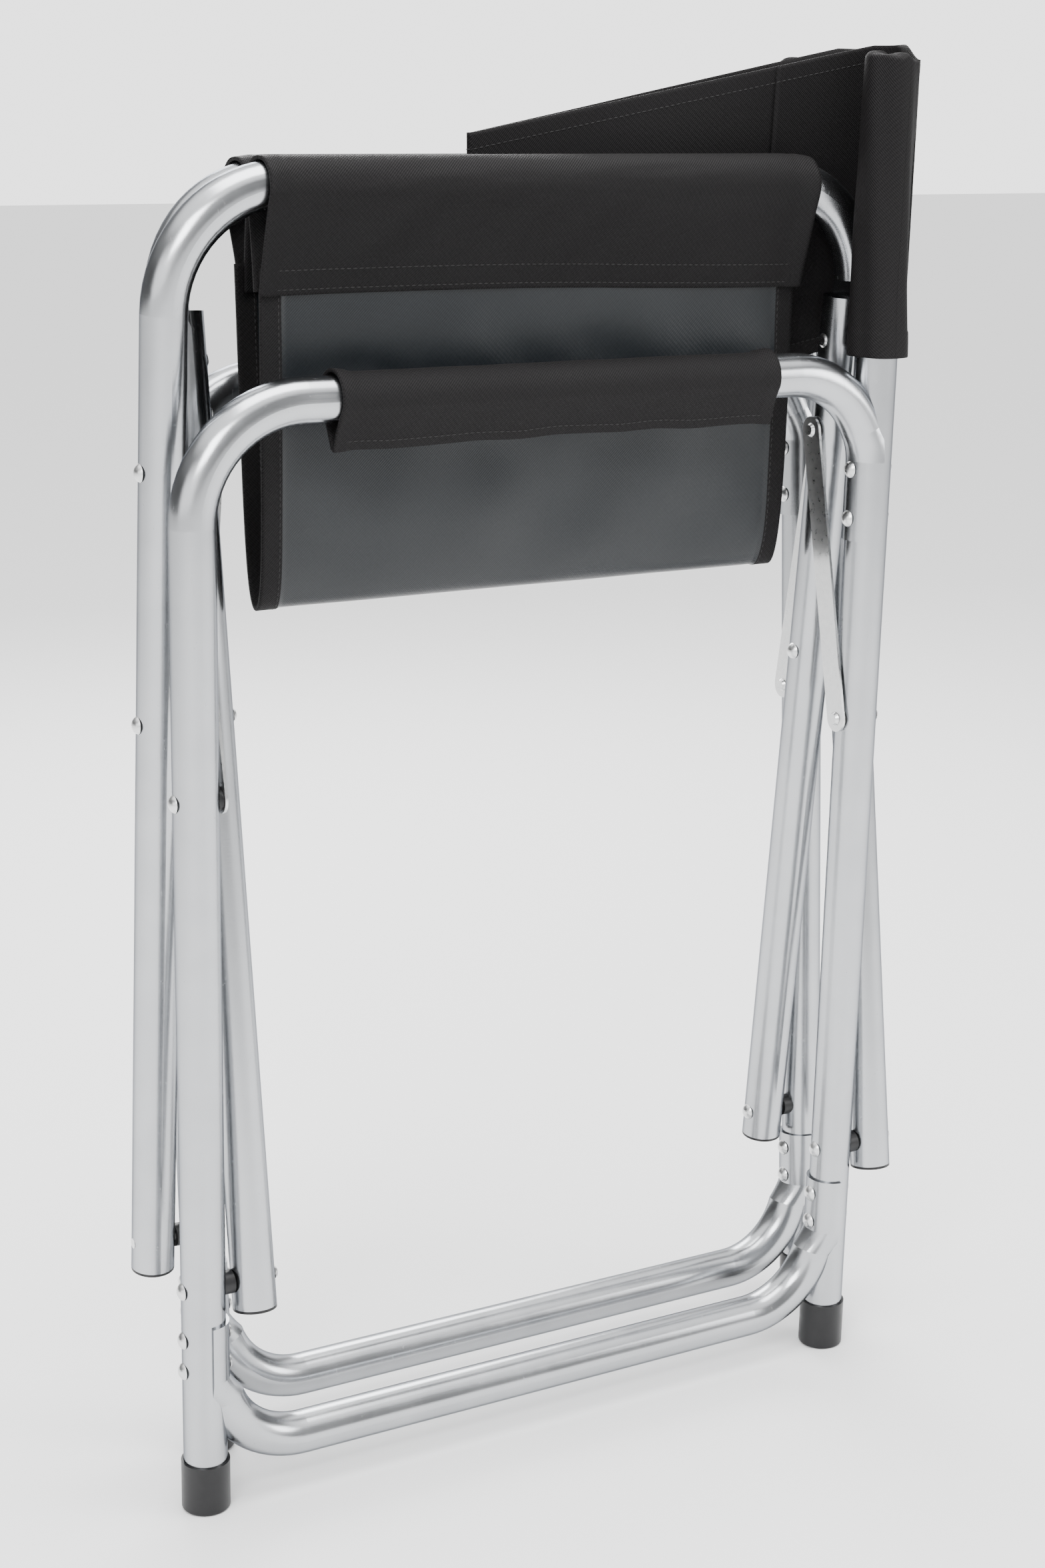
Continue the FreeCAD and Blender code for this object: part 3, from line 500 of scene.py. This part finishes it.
def seat_sleeve(side):
    """Black cloth sewn round a seat rail; its hem holds the grey panel."""
    seed = 21.0 if side == "near" else 37.0
    hem = (-4.5 * MM, -SEAT_HEM)

    def place(a, b):
        y = SEAT_START + b * SEAT_LENGTH
        radius = SLEEVE_RADIUS + 0.3 * MM + 0.45 * rail_drop(y)
        out, up = hanging_loop(a, radius, hem, (hem[0] - 3.4 * MM, hem[1] + 2 * MM))
        over = ramp(up, -16 * MM, -2 * MM)
        below = 1 - over
        outer = 1 if a > 0.5 else 0
        dent = ripple(0, y, up, 85 * MM, seed) + 0.45 * ripple(0, y, up * 0.6, 32 * MM, seed + 3)
        flutter = ripple(a, y, 0, 40 * MM, seed)
        pull = math.sin(110 * (y - 0.9 * up) + seed) * ripple(0, y, up, 55 * MM, seed + 9)
        out += below * outer * MM * (2.4 * dent + 1.3 * pull) + over * 0.6 * MM * flutter
        end = min(b, 1 - b)
        out += (1 - ramp(end, 0, 0.03)) * 1.2 * MM * (1 if a > 0.5 else -1)
        up -= rail_drop(y) * over
        up -= below * (0.8 * MM * ripple(0, y, 2, 120 * MM, seed + 6) + 3.5 * MM * ramp(b, 0.45, 1.0))
        return half_turned(Vector((RAIL.x + out, y, RAIL.z + up)), side)

    sheet = Sheet(grid(place, 120, 200))
    width, depth = sheet.size()
    made = sheet.build(f"{side}_seat_sleeve_cloth", double_at_edges(depth, 11 * MM))
    end_row = 8.5 * MM / depth
    rows = [(1 - edge / width, 0.006, 1 - edge / width, 0.994) for edge in (3.0 * MM, 13.5 * MM)]
    rows += [(0.03, edge, 0.99, edge) for edge in (end_row, 1 - end_row)]
    sewn = stitches(f"{side}_seat_sleeve_stitches", sheet, rows)
    body = "near_seat_cloth" if side == "near" else "far_seat_sleeve"
    finish_cloth(made, sewn, body, body, sheet)


BINDING = 12.5 * MM                             # width of the black tape along both edges
SEAT_TUCK = 14 * MM                             # the panel reaches up inside the sleeves' hems by


def seat_panel():
    """The grey seat: it hangs from both sleeves' hems in a U, bound in black at both edges."""
    top = RAIL.z - SEAT_HEM + SEAT_TUCK
    near_top = Vector((RAIL.x - 6.2 * MM, 0, top))
    belly = Vector((RAIL.x - 10 * MM, 0, top - 92 * MM))
    low = Vector((20.5 * MM, 0, SEAT_FOLD - 0.6 * MM))
    bottom = Vector((0, 0, SEAT_FOLD))

    def half_curve(t):
        return (near_top * (1 - t) ** 3 + belly * 3 * t * (1 - t) ** 2
                + low * 3 * t * t * (1 - t) + bottom * t ** 3)

    def place(a, b):
        near = a <= 0.5
        curve = half_curve(2 * a if near else 2 - 2 * a)
        sign = 1 if near else -1
        shift = 10 * MM * ramp(a, 0, 1) + 2 * MM
        y = SEAT_START + shift + b * (SEAT_LENGTH - 4 * MM)
        dents = 4.5 * MM * ripple(0, y, curve.z, 110 * MM, 51.0)
        dents += 2.2 * MM * ripple(0, y, curve.z, 52 * MM, 57.0)
        creases = 1.2 * MM * math.sin(70 * (y + 1.1 * curve.z)) * ripple(0, y, curve.z, 70 * MM, 63.0)
        free = ramp(min(a, 1 - a), 0.02, 0.12) * ramp(min(b, 1 - b), 0.0, 0.06)
        calm = 0.5 + 0.5 * ramp(abs(a - 0.5), 0.02, 0.12)
        push = free * calm * (dents + creases)
        return Vector((sign * (curve.x + push), y, curve.z))

    sheet = Sheet(grid(place, 260, 200))
    depth = sheet.size()[1]

    def half(_, v):
        edge = min(v, depth - v)
        return CLOTH_HALF * (2.1 - 1.2 * ramp(edge, BINDING - 0.6 * MM, BINDING))

    def look(_, v):
        return 0 if min(v, depth - v) < BINDING else 1

    made = sheet.build("seat_panel", half, look)
    edge = (BINDING - 2.2 * MM) / depth
    rows = [(0.0, edge, 1.0, edge), (0.0, 1 - edge, 1.0, 1 - edge)]
    sewn = stitches("seat_panel_stitches", sheet, rows, half=1.1 * MM)
    for piece in (made, sewn):
        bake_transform(piece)
    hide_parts("far_seat_cloth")
    sheet.size()


# ---------------------------------------------------------------- back

BACK_LOW, BACK_HIGH = 499 * MM, 667 * MM        # the back's edges, up a frame from its bottom pivot
BACK_FOLD_Y = FRONT + 189 * MM                  # where the folded edge lies
BACK_DROP = 50 * MM                             # the folded edge hangs below the posts' ends by
CROSS_PIVOT = 316.9 * MM                        # bottom pivot to crossing pivot along a seat leg
LEG_SLOPE = math.tan(math.asin(BOTTOM.x / CROSS_PIVOT))
TAB_SHARE = 0.72                                # where a back tab ends along the plan of its half
BACK_HEM = 9 * MM                               # stitch rows inside the back's upper and lower edge
BACK_SEEDS = {"near": 91.0, "far": 97.0}        # of the waves in the two halves of the back
TOP_FALL = 9 * MM                               # the back's top falls at the posts by


CAP = 0.93                                      # share of a back sleeve's height below its cap
CAP_BASE, CAP_RISE = 164 * MM, 3 * MM           # the cap's start above the sleeve's foot, its rise
SLANT = 2.2 * MM                                # half of the fall of a sleeve's top to the rear


def back_sleeve(side):
    """Cloth sleeve down a back post, gathered and folded over the post's end."""
    seed = 71.0 if side == "near" else 83.0

    def place(a, b):
        angle = 2 * math.pi * a
        shut = max(b - CAP, 0.0) / (1 - CAP)
        up = CAP_BASE * min(b / CAP, 1.0)
        folds = (1.1 * math.sin(3 * angle + seed) + 0.8 * math.sin(5 * angle - seed + 5 * b)) * MM
        round_x, round_y = 20 * MM * math.cos(angle), 20 * MM * math.sin(angle)
        folds += 1.1 * MM * ripple(round_x, round_y, up, 45 * MM, seed)
        flare = 3.0 * MM * (1 - ramp(b, 0, 0.4)) * (0.6 + 0.4 * math.sin(angle))
        radius = SLEEVE_RADIUS + 1.4 * MM + 0.75 * folds + flare
        pleats = 1 + 0.22 * math.sin(7 * angle + seed) * math.sin(math.pi * shut)
        radius = (radius * (1 - shut) + 0.7 * MM * shut) * pleats
        slant = SLANT * (1 - math.sin(angle)) * ramp(b, 0.7, CAP) * (1 - shut)
        crease = 1.2 * MM * math.sin(math.pi * shut) * math.sin(3 * angle + seed)
        rise = up + slant + crease + CAP_RISE * math.sin(math.pi / 2 * min(2 * shut, 1.0))
        along = LEG_SPAN + radius * math.sin(angle)
        return side_point(side, along, BACK_LOW + rise, radius * math.cos(angle))

    name = f"{side}_back_sleeve"
    sheet = Sheet(grid(place, 132, 150))
    hem_row = 12.5 * MM / sheet.size()[1]

    def half(_, v):
        return CLOTH_HALF * (1.7 - 0.7 * ramp(v, 14 * MM, 15 * MM))

    made = sheet.build(f"{name}_cloth", half)
    sewn = stitches(f"{name}_stitches", sheet, [(0.0, hem_row, 0.995, hem_row)])
    finish_cloth(made, sewn, f"{side}_side", name, sheet)


def back_path(side, share, height):
    """Plan of the folded back: from a post's sleeve, in behind the seat frame, and to the fold."""
    sign = SIDE_SIGNS[side]
    post = side_point("near", LEG_SPAN, (height - BOTTOM.z) / math.cos(LEAN))
    inner = 4.5 * MM + LEG_SLOPE * (height - 632 * MM)
    rear = post.y
    points = [(post.x + 4 * MM, rear + 15.8 * MM, 0), (post.x - 10 * MM, rear + 18.5 * MM, 0),
              (post.x - 26 * MM, rear + 24 * MM, 0), (inner + 7 * MM, rear + 23.5 * MM, 0),
              (inner + 0.5 * MM, rear + 17 * MM, 0), (inner - 0.5 * MM, rear - 2 * MM, 0),
              (inner * 0.75 + 1 * MM, rear - 60 * MM, 0), (inner * 0.38 + 1.1 * MM, rear - 145 * MM, 0),
              (1.1 * MM, BACK_FOLD_Y + 4 * MM, 0)]
    spot = rounded(points, share)
    shift = PITCH * (1 - ramp(share, 0.55, 1.0)) if side == "far" else 0.0
    return Vector((sign * spot.x, spot.y + shift, height))


def back_part(side, first, last, columns):
    """Grid of part of one half of the back cloth, between two shares of its plan."""
    length = BACK_HIGH - BACK_LOW + 5 * MM
    low = side_point("near", LEG_SPAN, BACK_LOW).z + 2 * MM
    post_y = POST + 15 * MM

    def place(a, b):
        share = first + (last - first) * a
        behind = PITCH * (1 - share) if side == "far" else 0
        y = min(back_path(side, share, low + b * length).y - behind, post_y)
        reach = (post_y - y) / (post_y - BACK_FOLD_Y)
        height = low + b * length - BACK_DROP * reach - TOP_FALL * b * (1 - ramp(share, 0.0, 0.2))
        spot = back_path(side, share, height)
        away = ramp(share, 0.0, 0.12) * (1 - ramp(share, 0.86, 1.0))
        wave = 0.8 * MM * away * ripple(0, spot.y, height, 60 * MM, BACK_SEEDS[side])
        return spot + Vector((wave, 0, 0))

    return grid(place, columns, 90)


def back_piece(name, points):
    """A plain piece of the back with stitches along its upper and lower edge."""
    sheet = Sheet(points)
    made = sheet.build(name)
    edge = BACK_HEM / sheet.size()[1]
    sewn = stitches(f"{name}_stitches", sheet, [(0.0, edge, 1.0, edge), (0.0, 1 - edge, 1.0, 1 - edge)])
    return sheet, made, sewn


def back_tab(side):
    """The back cloth from a post's sleeve to behind the seat frame."""
    sheet, made, sewn = back_piece(f"{side}_back_tab", back_part(side, 0.0, TAB_SHARE, 110))
    for piece in (made, sewn):
        if side == "near":
            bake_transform(piece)
        else:
            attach(piece, "far_back_cloth")
    sheet.size()


def back_panel():
    """The back between its tabs, in one piece round the folded edge."""
    near, far = (back_part(side, TAB_SHARE, 1.0, 60) for side in SIDE_SIGNS)
    tip = (near[-1] + far[-1]) / 2 - np.array([0, 2.2 * MM, 0])
    sheet, made, sewn = back_piece("back_panel", np.concatenate([near, tip[None], far[::-1]]))
    for piece in (made, sewn):
        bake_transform(piece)
    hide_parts("near_back_cloth", "far_back_cloth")
    sheet.size()


for side in SIDE_SIGNS:
    arm_sleeve(side)
    seat_sleeve(side)
    back_sleeve(side)
seat_panel()
for side in SIDE_SIGNS:
    back_tab(side)
back_panel()


# ---------------------------------------------------------------- studio

# (share of a turn that starts and ends at -X, brightness) and (sine of the height, brightness)
WALLS = ((0.0, 0.6), (0.03, 0.12), (0.19, 0.04), (0.235, 0.05), (0.27, 1.0), (0.39, 1.0), (0.43, 0.40),
         (0.52, 0.16), (0.59, 0.18), (0.625, 0.95), (0.675, 0.95), (0.71, 0.06), (0.80, 0.08),
         (0.845, 1.0), (0.96, 1.0), (1.0, 0.6))
CEILING = ((0.30, 0.30), (0.55, 0.12), (0.72, 0.8), (1.0, 1.0))
LAMPS = (("key", (1.9, -1.7, 2.1), 1.2, 60), ("fill", (1.6, 1.8, 1.2), 1.0, 22),
         ("rim", (-1.8, 0.6, 1.6), 1.0, 40), ("top", (0.2, 0.0, 2.6), 1.6, 60))


def ramp_node(tree, value, stops):
    """A grey colour ramp over 0..1 with the given (place, shade) stops."""
    node = tree.nodes.new("ShaderNodeValToRGB")
    tree.links.new(value, node.inputs[0])
    elements = node.color_ramp.elements
    for index, (spot, shade) in enumerate(stops):
        stop = elements[index] if index < 2 else elements.new(spot)
        stop.position = spot
        stop.color = (shade, shade, shade, 1)
    return node.outputs[0]


def surroundings():
    """A white room with tall soft boxes and darker gaps between them, and a lit ceiling."""
    world = bpy.data.worlds.new("studio")
    bpy.context.scene.world = world
    world.use_nodes = True
    tree = world.node_tree
    view = tree.nodes.new("ShaderNodeTexCoord").outputs["Generated"]
    around = tree.nodes.new("ShaderNodeTexGradient")
    around.gradient_type = "RADIAL"
    tree.links.new(view, around.inputs[0])
    height = tree.nodes.new("ShaderNodeSeparateXYZ")
    tree.links.new(view, height.inputs[0])
    walls = ramp_node(tree, around.outputs["Fac"], WALLS)
    ceiling = ramp_node(tree, height.outputs["Z"], CEILING)
    share = ramp_node(tree, height.outputs["Z"], ((0.30, 0.0), (0.55, 1.0)))
    mix = tree.nodes.new("ShaderNodeMix")
    mix.data_type = "RGBA"
    for index, colour in ((0, share), (6, walls), (7, ceiling)):
        tree.links.new(colour, mix.inputs[index])
    background = tree.nodes["Background"]
    tree.links.new(mix.outputs[2], background.inputs[0])
    background.inputs["Strength"].default_value = 2.6


def studio():
    """A pale floor, the room around and soft lamps at the front, the back and overhead."""
    bpy.ops.mesh.primitive_plane_add(size=60)
    floor = bpy.context.object
    floor.name = "floor"
    paper = Shader("paper", (0.90, 0.90, 0.90), 0.9, specular=0.2)
    floor.data.materials.append(paper.material)
    surroundings()
    middle = Vector((0, 0, 0.42))
    for name, spot, size, power in LAMPS:
        lamp = bpy.data.lights.new(name, "AREA")
        lamp.size, lamp.energy = size, power
        holder = bpy.data.objects.new(name, lamp)
        holder.location = spot
        holder.rotation_euler = (middle - Vector(spot)).to_track_quat("-Z", "Y").to_euler()
        bpy.context.collection.objects.link(holder)


def photo_camera():
    """The photograph's camera: a short telephoto, a little above the chair and off its side."""
    camera = bpy.data.cameras.new("photo")
    camera.lens, camera.sensor_width = 59.6, 36.0
    holder = bpy.data.objects.new("photo", camera)
    turn, tilt = math.radians(60.63), math.radians(13.9)
    view = Vector((-math.sin(turn) * math.cos(tilt), math.cos(turn) * math.cos(tilt), -math.sin(tilt)))
    holder.location = (1.2892, -0.7332, 0.7563)
    holder.rotation_euler = view.to_track_quat("-Z", "Y").to_euler()
    bpy.context.collection.objects.link(holder)
    bpy.context.scene.camera = holder


studio()
photo_camera()
